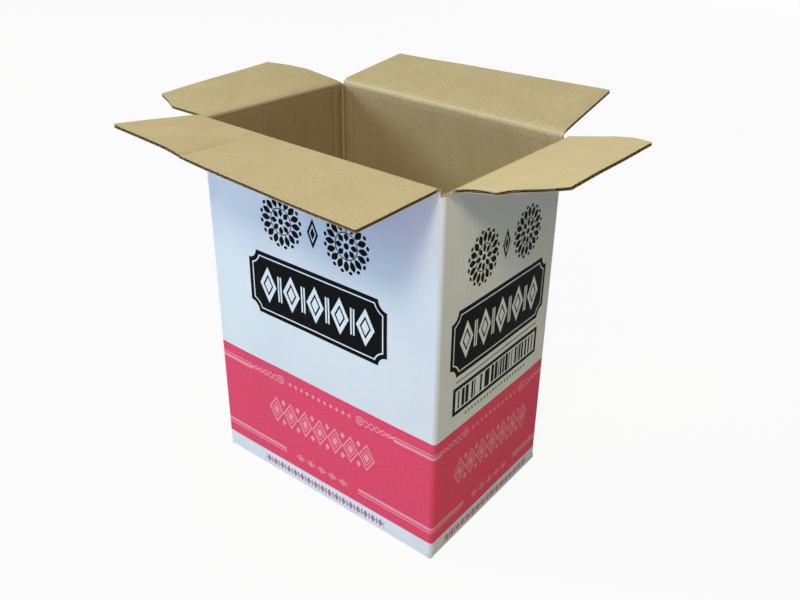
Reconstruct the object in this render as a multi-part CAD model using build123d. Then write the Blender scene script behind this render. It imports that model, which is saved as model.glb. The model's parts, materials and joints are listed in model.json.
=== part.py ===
from build123d import *
from math import sqrt
import os

# A slotted shipping case of corrugated board, folded from one sheet and open at the top.
# Its front, a long wall, faces -Y and its right, a short wall, faces +X.
# The origin is the middle of the base, on the surface that the case stands on.

# Case, over the outside of the board
case_length = 248.0
case_width = 168.0
case_height = 330.0  # from the base to the fold of the long flaps
corner_radius = 3.0  # outside of the four upright folds

# Board: two flat liners with a fluted sheet glued between them
board = 2.6
liner = 0.4
medium = 0.3  # the fluted sheet itself
flute_pitch = 6.4
flute_crest = 1.0  # width of each line of glue
crushed_band = 7.0  # flutes are pressed shut this close to a fold

# Flaps: all four are cut from one strip, and the long pair meets over the middle
seam_gap = 1.2
long_flap_set_in = 3.2  # from the outer corner to the side of a long flap
short_flap_set_in = 3.2
taper_start = 44.0  # the short flaps' sides are square up to here
taper_inset = 19.0

# Top folds
hinge_gap = 0.15  # from a wall's outer face out to the line that its flap turns about
fold_gap = 0.6  # between a wall's lip and its flap's, measured with the flap upright
flap_clearance = 0.3  # between a short flap and the long flap that closes over it
slot_ease = 0.5  # a slot is this much wider than its flap leaves it
slot_run_on = 1.5  # a slot is cut this far below the short flaps' fold

# How far each flap leans out from upright, as it is left open
front_lean = 82.0
right_lean = 77.5
back_lean = 76.5
left_lean = 92.0

# Bottom folds
bottom_fold_radius = 2.4
corner_foot = 1.2  # the walls' corners end this far above the base, between two bottom folds

# Scored lines beside the upright folds, on the inside
score_distance = 3.0
score_width = 1.8
score_depth = 0.6

# Glued tab that closes the tube, inside the back wall beside the right wall
tab_width = 28.0
tab_thickness = 2.0
tab_end_gap = 5.0  # from the tab's ends to the closed flaps
tab_end_taper = 7.0

flap_depth = (case_width - seam_gap) / 2
long_flap_width = case_length - 2 * long_flap_set_in
short_flap_width = case_width - 2 * short_flap_set_in
short_fold_height = case_height - board - flap_clearance
slot_bottom = short_fold_height - slot_run_on
tube_bottom = board + bottom_fold_radius  # above the bend of the higher bottom fold
beyond = 10.0  # how far a cutting shape runs past what it cuts

FRONT, RIGHT, BACK, LEFT = 0, 90, 180, 270  # each wall's turn from the front


def on_wall(turn, span, height=0.0):
    """Places a shape drawn with X along a wall, Y inwards from its outer face and Z up."""
    return Rot(0, 0, turn) * Pos(0, -span / 2, height)


def short_flap_outline():
    """A short flap laid flat, with Y from its fold to its free edge."""
    half = short_flap_width / 2
    side = [(half, 0), (half, taper_start), (half - taper_inset, flap_depth)]
    mirrored = [(-x, y) for x, y in reversed(side)]
    return make_face(Polyline(*side, *mirrored, close=True))


def wall_section():
    """Four walls seen from above, with rounded folds and the scored lines inside them."""
    inner_length = case_length - 2 * board
    inner_width = case_width - 2 * board
    section = RectangleRounded(case_length, case_width, corner_radius)
    section -= Rectangle(inner_length, inner_width)
    groove = Rot(0, 0, 45) * Rectangle(score_width / sqrt(2), score_width / sqrt(2))
    sunk = score_width / 2 - score_depth
    for side_x, side_y in ((-1, -1), (1, -1), (-1, 1)):
        edge_x = side_x * (inner_length / 2 - sunk)
        edge_y = side_y * (inner_width / 2 - sunk)
        section -= Pos(side_x * (inner_length / 2 - score_distance), edge_y) * groove
        section -= Pos(edge_x, side_y * (inner_width / 2 - score_distance)) * groove
    return section


def corner_blocks(low, high):
    """Four blocks over the corners, beyond the sides of every flap."""
    inner_x = long_flap_width / 2 + slot_ease
    inner_y = short_flap_width / 2 + slot_ease
    block = Box(beyond, beyond, high - low, align=(Align.MIN, Align.MIN, Align.MIN))
    corner = Pos(inner_x, inner_y, low) * block
    pair = corner + mirror(corner, Plane.YZ)
    return pair + mirror(pair, Plane.XZ)


def wall_mitre(width):
    """What the top of a wall loses: all that is above a slope that falls inwards at 45 degrees."""
    lip = -fold_gap / 2
    slope = [(-beyond, lip + beyond), (board + beyond, lip - board - beyond)]
    above = [(board + beyond, 2 * beyond), (-beyond, 2 * beyond)]
    return extrude(Plane.YZ * make_face(Polyline(*slope, *above, close=True)), width / 2, both=True)


def bottom_fold(width, depth, level):
    """The foot of a wall turned under into a flap at the given level."""
    top = tube_bottom + board
    upright = Pos(board / 2, (level + top) / 2) * Rectangle(board, top - level)
    section = upright + Pos(depth / 2, level + board / 2) * Rectangle(depth, board)
    heel = section.vertices().sort_by_distance(Vector(0, level))[0]
    return extrude(Plane.YZ * fillet(heel, bottom_fold_radius), width / 2, both=True)


def glued_tab():
    """The tab of the right wall, glued inside the back wall."""
    fixed = case_length / 2 - board
    free = fixed - tab_width
    low = 2 * board + tab_end_gap
    high = short_fold_height - board - tab_end_gap
    edge = [(fixed, low), (fixed, high), (free, high - tab_end_taper), (free, low + tab_end_taper)]
    tab = extrude(Plane.XZ * make_face(Polyline(*edge, close=True)), tab_thickness)
    return Pos(0, case_width / 2 - board, 0) * tab


def case_body():
    """Walls, closed bottom and glued tab, which are all one sheet."""
    section = wall_section()
    feet = Pos(0, 0, corner_foot) * extrude(section, tube_bottom - corner_foot)
    body = Pos(0, 0, tube_bottom) * extrude(section, case_height - tube_bottom)
    body += feet & corner_blocks(corner_foot, tube_bottom)
    body += glued_tab()
    for turn in (FRONT, BACK):
        body += on_wall(turn, case_width) * bottom_fold(long_flap_width, flap_depth, 0)
    short_end = Pos(0, 0, board) * extrude(short_flap_outline(), board)
    for turn in (RIGHT, LEFT):
        body += on_wall(turn, case_length) * bottom_fold(short_flap_width, taper_start, board)
        body += on_wall(turn, case_length) * short_end
    body -= corner_blocks(slot_bottom, case_height + beyond)
    long_mitre = wall_mitre(long_flap_width + 2 * slot_ease)
    short_mitre = wall_mitre(short_flap_width + 2 * slot_ease)
    for turn in (FRONT, BACK):
        body -= on_wall(turn, case_width, case_height) * long_mitre
    for turn in (RIGHT, LEFT):
        body -= on_wall(turn, case_length, short_fold_height) * short_mitre
    return body


def flute_cells(width):
    """The open cells of the board seen on its cut end, wide at one liner and narrow at the other."""
    height = board - 2 * liner - medium
    wide = (flute_pitch - flute_crest - 2 * medium) / 2
    narrow = flute_crest / 2
    trapezium = Polyline((-wide, 0), (wide, 0), (narrow, height), (-narrow, height), close=True)
    cell = make_face(trapezium)
    low = Pos(0, liner) * cell
    high = Pos(flute_pitch / 2, board - liner) * mirror(cell, Plane.XZ)
    count = int((width - flute_pitch) / flute_pitch)
    first = -count * flute_pitch / 2
    places = [Pos(first + i * flute_pitch, 0) for i in range(count)]
    return Sketch() + [place * half for place in places for half in (low, high)]


def open_flap(width, lean, outline=None):
    """A flap of fluted board, mitred at its fold and leaning out from its wall."""
    root = fold_gap / 2
    section = Polyline(
        (0, root), (board, root + board), (board, flap_depth), (0, flap_depth), close=True
    )
    flap = extrude(Plane.YZ * make_face(section), width / 2, both=True)
    if outline:
        flap &= Pos(0, board, 0) * extrude(Plane.XZ * outline, board)
    cells = Pos(0, 0, crushed_band) * extrude(flute_cells(width), flap_depth)
    turned = Pos(0, -hinge_gap, 0) * Rot(lean, 0, 0) * Pos(0, hinge_gap, 0)
    return turned * (flap - cells)


long_place = (case_width, case_height)
short_place = (case_length, short_fold_height)
nodes = {
    "case_body": case_body(),
    "front_flap": on_wall(FRONT, *long_place) * open_flap(long_flap_width, front_lean),
    "back_flap": on_wall(BACK, *long_place) * open_flap(long_flap_width, back_lean),
    "right_flap": on_wall(RIGHT, *short_place)
    * open_flap(short_flap_width, right_lean, short_flap_outline()),
    "left_flap": on_wall(LEFT, *short_place)
    * open_flap(short_flap_width, left_lean, short_flap_outline()),
}

os.makedirs("parts", exist_ok=True)
for name, shape in nodes.items():
    export_step(shape, f"parts/{name}.step")
    print(name, round(shape.volume), "mm3", shape.bounding_box())
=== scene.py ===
"""A printed shipping case of corrugated board, standing open with its top flaps folded out.

The case is made the way its maker makes it. Each part of the board is first laid flat as a blank,
cut to its outline and given its thickness, and is then folded round the corners and creases.
Flat sizes are in millimetres. The finished meshes are in metres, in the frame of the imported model.
"""

import json
import logging
import math
from dataclasses import dataclass, field
from enum import Enum
from typing import Callable, Sequence

import bpy
import numpy as np
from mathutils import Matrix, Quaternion, Vector, noise

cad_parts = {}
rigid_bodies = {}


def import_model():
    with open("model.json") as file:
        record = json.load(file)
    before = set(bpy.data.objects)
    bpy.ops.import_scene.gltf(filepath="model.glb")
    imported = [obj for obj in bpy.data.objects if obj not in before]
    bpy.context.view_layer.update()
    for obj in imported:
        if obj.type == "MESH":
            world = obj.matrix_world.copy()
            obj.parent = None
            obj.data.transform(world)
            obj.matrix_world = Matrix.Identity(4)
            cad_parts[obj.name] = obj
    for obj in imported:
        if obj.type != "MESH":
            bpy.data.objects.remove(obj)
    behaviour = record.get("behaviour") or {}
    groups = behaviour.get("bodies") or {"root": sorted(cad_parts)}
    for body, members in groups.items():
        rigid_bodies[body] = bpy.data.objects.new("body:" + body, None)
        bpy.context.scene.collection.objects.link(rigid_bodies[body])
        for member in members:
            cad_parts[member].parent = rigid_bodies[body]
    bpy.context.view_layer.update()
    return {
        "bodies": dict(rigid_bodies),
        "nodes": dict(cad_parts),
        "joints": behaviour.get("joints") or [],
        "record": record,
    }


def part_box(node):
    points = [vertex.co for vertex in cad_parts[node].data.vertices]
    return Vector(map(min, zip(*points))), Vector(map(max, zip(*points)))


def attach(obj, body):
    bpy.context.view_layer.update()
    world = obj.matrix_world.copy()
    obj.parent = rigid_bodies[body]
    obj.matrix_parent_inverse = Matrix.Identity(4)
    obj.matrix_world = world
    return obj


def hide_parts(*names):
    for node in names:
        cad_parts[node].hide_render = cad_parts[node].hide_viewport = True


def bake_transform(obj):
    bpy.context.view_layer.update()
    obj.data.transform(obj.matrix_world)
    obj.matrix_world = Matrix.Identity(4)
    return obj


log = logging.getLogger("case")

MM = 0.001
LONG_WALL, SHORT_WALL = 248.0, 168.0  # on the blank, in millimetres
ATTRIBUTE = "sheet"  # where each point lies on the flat blank: along it, up it, through it
SMOOTH_ANGLE = 32.0  # degrees: an edge that turns more than this is shaded sharp

Points = np.ndarray
Fold = Callable[[Points], Points]


@dataclass(frozen=True)
class Board:
    """Single-wall corrugated board, in millimetres: two liners and the fluted medium between."""

    thickness: float = 2.6
    liner: float = 0.4
    medium: float = 0.3
    flute_pitch: float = 6.4
    glue_line: float = 0.03  # how far a flute's crest sinks into the liner

    @property
    def flute_swing(self) -> float:
        """How far the medium's middle swings to each side of the board's middle."""
        hollow = self.thickness - 2 * self.liner
        return (hollow - self.medium) / 2 + self.glue_line

    @property
    def inner_liner(self) -> float:
        """Distance from the outer face to the inner liner."""
        return self.thickness - self.liner


BOARD = Board()


class Wall(Enum):
    """The four walls, each with its turn from the front and its first place on the blank."""

    FRONT = (0, 0.0)
    RIGHT = (1, LONG_WALL)
    BACK = (2, LONG_WALL + SHORT_WALL)
    LEFT = (3, 2 * LONG_WALL + SHORT_WALL)

    @property
    def label(self) -> str:
        """The wall's name as the pieces and bodies have it."""
        return self.name.lower()

    @property
    def blank_start(self) -> float:
        """Where the wall's left edge lies on the blank, seen from outside."""
        return self.value[1]

    @property
    def along(self) -> complex:
        """Direction along the wall, seen from above as a complex number."""
        return 1j ** self.value[0]

    @property
    def outward(self) -> complex:
        """Direction out of the wall, seen from above as a complex number."""
        return -1j * self.along


def box_size(node: str) -> list[float]:
    """Length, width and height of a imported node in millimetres."""
    low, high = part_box(node)
    return [(top - bottom) / MM for bottom, top in zip(low, high)]


@dataclass
class CaseSizes:
    """Sizes of the whole case in millimetres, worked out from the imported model."""

    length: float
    width: float
    long_flap: float
    short_flap: float
    fold_heights: dict[Wall, float]
    hinge_gap: float
    flap_depth: float = 83.4
    taper_start: float = 44.0
    taper_inset: float = 19.0
    corner_radius: float = 3.3
    tube_foot: float = 7.0  # the walls end here and the bottom folds begin
    corner_foot: float = 0.4
    strip: float = 4.4  # how far a fold's own piece reaches from the fold on each side

    @classmethod
    def from_frame(cls, frame: dict) -> "CaseSizes":
        """Reads the walls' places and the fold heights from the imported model.


        Returns:
            The sizes, with every length in millimetres.
        """
        length, width = box_size("case_body")[:2]
        joints = {joint["child"]: joint["pos_m"] for joint in frame["joints"]}
        heights = {wall: joints[f"{wall.label}_flap"][2] / MM for wall in Wall}
        hinge = joints["right_flap"][0] / MM - length / 2
        long_flap, short_flap = box_size("front_flap")[0], box_size("right_flap")[1]
        return cls(length, width, long_flap, short_flap, heights, hinge)

    def span(self, wall: Wall) -> float:
        """Length of a wall."""
        return self.length if wall in (Wall.FRONT, Wall.BACK) else self.width

    def reach(self, wall: Wall) -> float:
        """Distance from the middle of the case to a wall's outer face."""
        return (self.width if wall in (Wall.FRONT, Wall.BACK) else self.length) / 2

    def flap_width(self, wall: Wall) -> float:
        """Width of the flaps on a wall."""
        return self.long_flap if wall in (Wall.FRONT, Wall.BACK) else self.short_flap


def steps(low: float, high: float, pitch: float, marks: Sequence[float] = ()) -> list[float]:
    """Even steps over a stretch, with a few exact places added.

    Args:
        low: where the stretch starts.
        high: where it ends.
        pitch: about how far apart the steps lie.
        marks: places that are hit exactly.

    Returns:
        The places in rising order, with none very close to a mark or to another.
    """
    count = max(1, round((high - low) / pitch))
    even = np.linspace(low, high, count + 1)
    kept = [m for m in marks if low < m < high] + [low, high]
    kept += [e for e in even if min(abs(e - m) for m in kept) > pitch * 0.3]
    return sorted(kept)


def smoothstep(value: Points, low: float, high: float) -> Points:
    """Rises smoothly from 0 at low to 1 at high."""
    share = np.clip((value - low) / (high - low), 0, 1)
    return share * share * (3 - 2 * share)


def unevenness(x: Points, y: Points, size: float, seed: float) -> Points:
    """Smooth random waves, the same at each run.

    Args:
        x: place along the blank in millimetres.
        y: place up the blank in millimetres.
        size: about how long a wave is, in millimetres.
        seed: picks one set of waves.

    Returns:
        Values from about -1 to 1.
    """
    places = np.stack([x / size, y / size, np.full_like(x, seed)], axis=1)
    return np.array([noise.noise(Vector(place)) for place in places])


def points_of(piece: bpy.types.Object) -> Points:
    """The piece's points as an array of rows."""
    flat = np.zeros(len(piece.data.vertices) * 3)
    piece.data.vertices.foreach_get("co", flat)
    return flat.reshape(-1, 3)


def set_points(piece: bpy.types.Object, points: Points) -> None:
    """Moves the piece's points to the given rows."""
    piece.data.vertices.foreach_set("co", points.ravel())
    piece.data.update()


def apply_modifier(piece: bpy.types.Object, kind: str, **settings: object) -> None:
    """Adds a modifier with its settings and applies it.

    Args:
        piece: the object that gets it.
        kind: the modifier's type.
        settings: the modifier's own values.
    """
    modifier = piece.modifiers.new(kind.title(), kind)
    for name, value in settings.items():
        setattr(modifier, name, value)
    bpy.context.view_layer.objects.active = piece
    bpy.ops.object.modifier_apply(modifier=modifier.name)


def flat_sheet(name: str, across: Sequence[float], along: Sequence[float]) -> bpy.types.Object:
    """Lays out a flat sheet of card with cells at the given places.

    Args:
        name: the piece's name.
        across: places along the blank.
        along: places up the blank.

    Returns:
        The new flat piece, facing up.
    """
    bpy.ops.object.select_all(action="DESELECT")
    columns, rows = len(across), len(along)
    bpy.ops.mesh.primitive_grid_add(x_subdivisions=columns - 1, y_subdivisions=rows - 1, size=1)
    sheet = bpy.context.object
    sheet.name = sheet.data.name = name
    unit = points_of(sheet)
    column = np.rint((unit[:, 0] + 0.5) * (columns - 1)).astype(int)
    row = np.rint((unit[:, 1] + 0.5) * (rows - 1)).astype(int)
    level = np.zeros(len(unit))
    set_points(sheet, np.stack([np.array(across)[column], np.array(along)[row], level], axis=1))
    return sheet


def thicken(sheet: bpy.types.Object, low: float, high: float) -> None:
    """Gives a flat sheet its thickness, from low to high above the board's outer face."""
    apply_modifier(sheet, "SOLIDIFY", thickness=high - low, offset=1.0)
    points = points_of(sheet)
    points[:, 2] += low
    set_points(sheet, points)


def cut_to(sheet: bpy.types.Object, outline: Sequence[tuple[float, float]]) -> None:
    """Cuts a thick flat sheet to an outline, as a die does.

    Args:
        sheet: the piece to cut.
        outline: the corners of what is kept, in order.
    """
    reach = 10.0
    bpy.ops.object.select_all(action="DESELECT")
    bpy.ops.mesh.primitive_circle_add(vertices=len(outline), radius=1, fill_type="NGON")
    die = bpy.context.object
    set_points(die, np.array([(x, y, -reach) for x, y in outline]))
    bpy.ops.object.mode_set(mode="EDIT")
    bpy.ops.mesh.select_all(action="SELECT")
    bpy.ops.mesh.extrude_region_move(TRANSFORM_OT_translate={"value": (0, 0, 2 * reach)})
    bpy.ops.mesh.select_all(action="SELECT")
    bpy.ops.mesh.normals_make_consistent(inside=False)
    bpy.ops.object.mode_set(mode="OBJECT")
    sheet.select_set(True)
    apply_modifier(sheet, "BOOLEAN", operation="INTERSECT", object=die, solver="EXACT")
    bpy.data.objects.remove(die)


def fold(sheet: bpy.types.Object, blank: Fold, shape: Fold) -> None:
    """Notes where each point lies on the blank, and folds the sheet to its place.

    Args:
        sheet: a flat, thick piece in millimetres.
        blank: turns the piece's own flat places into places on the whole blank.
        shape: turns them into the folded places, in millimetres.
    """
    flat = points_of(sheet)
    places = blank(flat)
    layer = sheet.data.attributes.new(ATTRIBUTE, "FLOAT_VECTOR", "POINT")
    layer.data.foreach_set("vector", places.astype(np.float32).ravel())
    set_points(sheet, shape(flat) * MM)


def join(name: str, parts: Sequence[bpy.types.Object]) -> bpy.types.Object:
    """Joins parts of one liner or one board into a single piece.

    Args:
        name: the joined piece's name.
        parts: the parts, of which the first is kept.

    Returns:
        The joined piece, shaded smooth over its gentle bends.
    """
    bpy.ops.object.select_all(action="DESELECT")
    for part in parts:
        part.select_set(True)
    bpy.context.view_layer.objects.active = parts[0]
    if len(parts) > 1:
        bpy.ops.object.join()
    piece = bpy.context.object
    piece.name = piece.data.name = name
    bpy.ops.object.shade_smooth_by_angle(angle=math.radians(SMOOTH_ANGLE))
    return piece


def linear(code: str) -> tuple[float, float, float, float]:
    """Turns an sRGB colour such as "#C8B482" into linear light."""
    channels = [int(code[i : i + 2], 16) / 255 for i in (1, 3, 5)]
    light = [c / 12.92 if c <= 0.04045 else ((c + 0.055) / 1.055) ** 2.4 for c in channels]
    return (light[0], light[1], light[2], 1.0)


MATH = "ShaderNodeMath"
VECTOR = "ShaderNodeVectorMath"
MIX = "ShaderNodeMix"
Socket = bpy.types.NodeSocket
Value = Socket | float


def add_node(
    tree: bpy.types.NodeTree, kind: str, *values: object, take: str | int = 0, **settings: object
) -> Socket:
    """Adds one node with its settings and links.

    Args:
        tree: the nodes of a material or of the world.
        kind: the node's type.
        values: what goes into its inputs in order: a socket, a plain value, or None.
        take: which output is wanted.
        settings: the node's own options.

    Returns:
        The wanted output.
    """
    node = tree.nodes.new(kind)
    for name, setting in settings.items():
        setattr(node, name, setting)
    for entry, value in zip(node.inputs, values):
        if isinstance(value, bpy.types.NodeSocket):
            tree.links.new(value, entry)
        elif value is not None:
            entry.default_value = value
    return node.outputs[take]


class Finish:
    """A material that is drawn with nodes on the flat blank."""

    def __init__(self, name: str, roughness: float, sheen: float) -> None:
        """Starts a material with its gloss.

        Args:
            name: what the real material is.
            roughness: how matte the surface is.
            sheen: strength of its reflection, where 0.5 is that of smooth plastic.
        """
        self.material = bpy.data.materials.new(name)
        self.material.use_nodes = True
        self.tree = self.material.node_tree
        self.shader = self.tree.nodes["Principled BSDF"]
        self.shader.inputs["Roughness"].default_value = roughness
        self.shader.inputs["Specular IOR Level"].default_value = sheen
        self.place = self.add("ShaderNodeAttribute", attribute_name=ATTRIBUTE, take="Vector")
        self.x, self.y, self.depth = self.add("ShaderNodeSeparateXYZ", self.place).node.outputs
        turn = self.add(MATH, self.x, LONG_WALL + SHORT_WALL, operation="MODULO")
        self.short = self.add(MATH, turn, LONG_WALL, operation="GREATER_THAN")
        middle = self.by_wall(LONG_WALL / 2, LONG_WALL + SHORT_WALL / 2)
        self.from_middle = self.add(MATH, turn, middle, operation="SUBTRACT")

    def add(self, kind: str, *values: object, take: str | int = 0, **settings: object) -> Socket:
        """Adds one node to this material, as add_node does."""
        return add_node(self.tree, kind, *values, take=take, **settings)

    def by_wall(self, long: float, short: float) -> Socket:
        """One value on the long walls and another on the short walls."""
        return self.add(MATH, self.short, short - long, long, operation="MULTIPLY_ADD")

    def within(self, value: Value, low: float, high: float) -> Socket:
        """1 where a value lies between two limits."""
        middle, half = (low + high) / 2, (high - low) / 2
        return self.add(MATH, value, middle, half, operation="COMPARE")

    def both(self, one: Value, other: Value) -> Socket:
        """1 where both masks are 1."""
        return self.add(MATH, one, other, operation="MULTIPLY")

    def either(self, *masks: Value) -> Socket:
        """1 where any mask is 1."""
        result = masks[0]
        for mask in masks[1:]:
            result = self.add(MATH, result, mask, operation="MAXIMUM")
        return result

    def without(self, mask: Value, hole: Value) -> Socket:
        """The mask with a hole taken out of it."""
        return self.both(mask, self.add(MATH, 1.0, hole, operation="SUBTRACT"))

    def below(self, value: Value, limit: Value) -> Socket:
        """1 where a value is under a limit."""
        return self.add(MATH, value, limit, operation="LESS_THAN")

    def offset(self, value: Value, shift: float) -> Socket:
        """A value moved by a set amount."""
        return self.add(MATH, value, shift, operation="ADD")

    def size_of(self, value: Value) -> Socket:
        """A value without its sign."""
        return self.add(MATH, value, operation="ABSOLUTE")

    def scaled(self, value: Value, factor: Value) -> Socket:
        """A value times a factor."""
        return self.add(MATH, value, factor, operation="MULTIPLY")

    def blend(self, share: Value, under: object, over: object) -> Socket:
        """Lays one colour over another by a share."""
        values = [share, None, None, None, None, None, under, over]
        return self.add(MIX, *values, take=2, data_type="RGBA")

    def tint(self, colour: object, mask: Value, share: float, tone: str) -> Socket:
        """Lays a tone over a colour where a mask is 1.

        Args:
            colour: the colour below.
            mask: where the tone lies.
            share: how much of it is laid.
            tone: its sRGB code.

        Returns:
            The tinted colour.
        """
        laid = mask if share == 1 else self.scaled(mask, share)
        return self.blend(laid, colour, linear(tone))

    def grain(self, length: float, height: float, detail: float, seed: float) -> Socket:
        """Noise on the blank, as fine and as long as the real pattern.

        Args:
            length: size of a speck along the blank in millimetres.
            height: size of a speck up the blank in millimetres.
            detail: how many finer octaves it has.
            seed: picks one pattern.

        Returns:
            Noise around 0.5.
        """
        scale = (1 / length, 1 / height, 1.0)
        stretched = self.add("ShaderNodeMapping", self.place, (seed, seed, seed), None, scale)
        return self.add("ShaderNodeTexNoise", stretched, None, 1.0, detail, noise_dimensions="3D")

    def ramp(self, value: Value, low: float, high: float) -> Socket:
        """Rises from 0 at low to 1 at high."""
        return self.add("ShaderNodeMapRange", value, low, high, 0.0, 1.0)

    def finish(self, colour: object, relief: Value, strength: float = 1.0) -> bpy.types.Material:
        """Connects the colour and the relief.

        Args:
            colour: the surface's colour.
            relief: height of the surface in millimetres.
            strength: how strongly the relief shows.

        Returns:
            The finished material.
        """
        self.tree.links.new(colour, self.shader.inputs["Base Color"])
        bump = self.add("ShaderNodeBump", strength, MM, take="Normal")
        self.tree.links.new(relief, bump.node.inputs["Height"])
        self.tree.links.new(bump, self.shader.inputs["Normal"])
        return self.material

    def washboard(self, swing: float) -> Socket:
        """The liner sinks a little between the flutes, in lines up the board.

        Args:
            swing: how deep the lines are in millimetres.

        Returns:
            The height in millimetres.
        """
        turn = self.scaled(self.x, 2 * math.pi / BOARD.flute_pitch)
        wave = self.add(MATH, turn, operation="COSINE")
        return self.scaled(wave, swing / 2)


@dataclass(frozen=True)
class KraftColours:
    """Unbleached kraft paper: a warm brown web of short wood fibres, pressed and matte."""

    base: str = "#BFAD8B"
    dark_fibre: str = "#A58D69"
    pale_fibre: str = "#CFC0A6"
    unfaded: str = "#745223"  # painted shade that darkens the inside of the case
    # painted light that makes the front and right flaps paler
    paled: str = "#E0CDA6"
    # painted highlight along the folds' crests
    crease: str = "#D3C6AB"
    # painted shade in the score lines near the corners
    pressed: str = "#6F5C3C"
    roughness: float = 0.85
    sheen: float = 0.05
    fibre_length: float = 3.0
    fibre_width: float = 0.9
    cloud: float = 34.0
    shaded: tuple[float, float] = (332.0, 322.0)  # painted shade darkens the inside between these heights
    crests: tuple[float, float] = (330.4, 327.4)  # of the long walls' folds and the short walls'
    crest_half: float = 1.3  # half the width of the painted highlight along a fold's crest
    scored_below: float = 325.0
    scores: tuple[tuple[float, float], ...] = ((4.3, 0.6), (15.5, 0.25))  # place and strength of the painted shade in each score line
    flaps_from: tuple[float, float] = (330.0, 337.0)
    # share of painted light on the front and right flaps
    paling: tuple[tuple[Wall, float], ...] = ((Wall.FRONT, 0.14), (Wall.RIGHT, 0.34))


def kraft_liner(colours: KraftColours = KraftColours()) -> bpy.types.Material:
    """Kraft liner, calendered on the machine: even brown with flecks, clouds and flute lines, with
    painted shade inside the case and in the score lines, painted light on the front and right flaps
    and a painted highlight along the folds' crests.

    Args:
        colours: the paper's colours and the sizes of its fibres.

    Returns:
        The material of the case's inside.
    """
    paper = Finish("kraft_liner", colours.roughness, colours.sheen)
    flecks = paper.grain(colours.fibre_width, colours.fibre_length, 3.0, 3.1)
    cross = paper.grain(colours.fibre_length, colours.fibre_width, 3.0, 7.7)
    specks = paper.grain(1.3, 1.3, 2.0, 11.3)
    clouds = paper.grain(colours.cloud, colours.cloud, 2.0, 5.5)
    colour: object = linear(colours.base)
    for mask, share, tone in (
        (paper.ramp(flecks, 0.5, 0.72), 0.6, colours.dark_fibre),
        (paper.ramp(cross, 0.5, 0.74), 0.5, colours.pale_fibre),
        (paper.ramp(clouds, 0.35, 0.7), 0.25, colours.dark_fibre),
        (paper.ramp(specks, 0.56, 0.68), 0.45, colours.dark_fibre),
        (paper.ramp(paper.washboard(1.0), -0.4, 0.5), 0.07, colours.dark_fibre),
        # painted shade on the inside of the case
        (paper.ramp(paper.y, *colours.shaded), 0.34, colours.unfaded),
    ):
        colour = paper.tint(colour, mask, share, tone)
    # painted light on the front and right flaps
    flaps = paper.ramp(paper.y, *colours.flaps_from)
    for wall, share in colours.paling:
        end = wall.blank_start + (SHORT_WALL if wall is Wall.RIGHT else LONG_WALL)
        there = paper.both(flaps, paper.within(paper.x, wall.blank_start, end))
        colour = paper.tint(colour, there, share, colours.paled)
    # painted highlight along each fold's crest, broken by the flecks and left off the left wall
    fold_line = paper.by_wall(*colours.crests)
    off = paper.size_of(paper.add(MATH, paper.y, fold_line, operation="SUBTRACT"))
    crest_highlight = paper.both(paper.ramp(off, colours.crest_half, 0.2), paper.ramp(flecks, 0.3, 0.6))
    on_left = paper.below(Wall.LEFT.blank_start, paper.x)
    colour = paper.tint(colour, paper.without(crest_highlight, on_left), 0.8, colours.crease)
    half = paper.by_wall(LONG_WALL / 2, SHORT_WALL / 2)
    edge = paper.add(MATH, half, paper.size_of(paper.from_middle), operation="SUBTRACT")
    # painted shade along the score lines near each corner, below the folds
    for place, share in colours.scores:
        score_shade = paper.ramp(paper.size_of(paper.offset(edge, -place)), 0.9, 0.2)
        score_shade = paper.both(score_shade, paper.below(paper.y, colours.scored_below))
        colour = paper.tint(colour, score_shade, share, colours.pressed)
    relief = paper.add(MATH, paper.washboard(0.06), paper.scaled(specks, 0.12), operation="ADD")
    return paper.finish(colour, relief)


def fluted_medium() -> bpy.types.Material:
    """Recycled fluting paper: darker and greyer than the liner, with the saw's dull cut edge.

    Returns:
        The material of the fluted sheet between the liners.
    """
    paper = Finish("fluting_paper", 0.9, 0.05)
    specks = paper.grain(0.8, 2.4, 3.0, 2.2)
    colour = paper.blend(paper.ramp(specks, 0.4, 0.65), linear("#8E7450"), linear("#6F5A3B"))
    return paper.finish(colour, paper.scaled(specks, 0.15))


@dataclass(frozen=True)
class PrintColours:
    """White-top liner with flexo ink: clay-whitened kraft, printed in flat colours."""

    paper: str = "#E6E7E7"
    paper_shade: str = "#DBDDDE"
    pink: str = "#EE4E6B"
    pink_shade: str = "#E24862"
    pale_pink: str = "#F0A7B3"
    strip_pink: str = "#A34872"
    black: str = "#0E0F10"
    rubbed: str = "#C9C6BE"
    core: str = "#8E7450"
    roughness: float = 0.6
    sheen: float = 0.1


@dataclass(frozen=True)
class PrintLayout:
    """Where the print lies on each wall, in millimetres from the base and the wall's middle."""

    short_scale: float = 0.9  # of the ornaments on the short walls, beside those on the long
    band: tuple[float, float] = (17.0, 119.0)
    upper_lines: tuple[tuple[float, float], ...] = ((107.8, 108.9), (103.5, 106.3))
    lower_lines: tuple[tuple[float, float], ...] = ((30.5, 33.4), (27.7, 28.8))
    plaque_middle: float = 199.5
    plaque_half: tuple[float, float] = (76.0, 29.5)
    rosette_place: tuple[float, float] = (35.0, 263.0)  # from the wall's middle, and up
    rosette_radius: float = 21.5
    frieze_middle: float = 72.0
    frieze_pitch: float = 18.0
    bars_middle: float = 147.0
    hem_middle: float = 8.6
    blank_from: float = 318.0  # nothing black is printed above this, near the folds
    upper_gap: float = 83.0  # the upper lines start this far from the wall's middle
    lower_gap: float = 44.0  # and the lower lines this far
    braid_reach: tuple[float, float] = (52.0, 84.0)
    beads_reach: float = 38.0
    frieze_reach: float = 63.0
    lower_reach: float = 32.0
    hem_reach: float = 73.0
    motif_reach: float = 64.5  # of the lozenges and bars on the plaque


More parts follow.
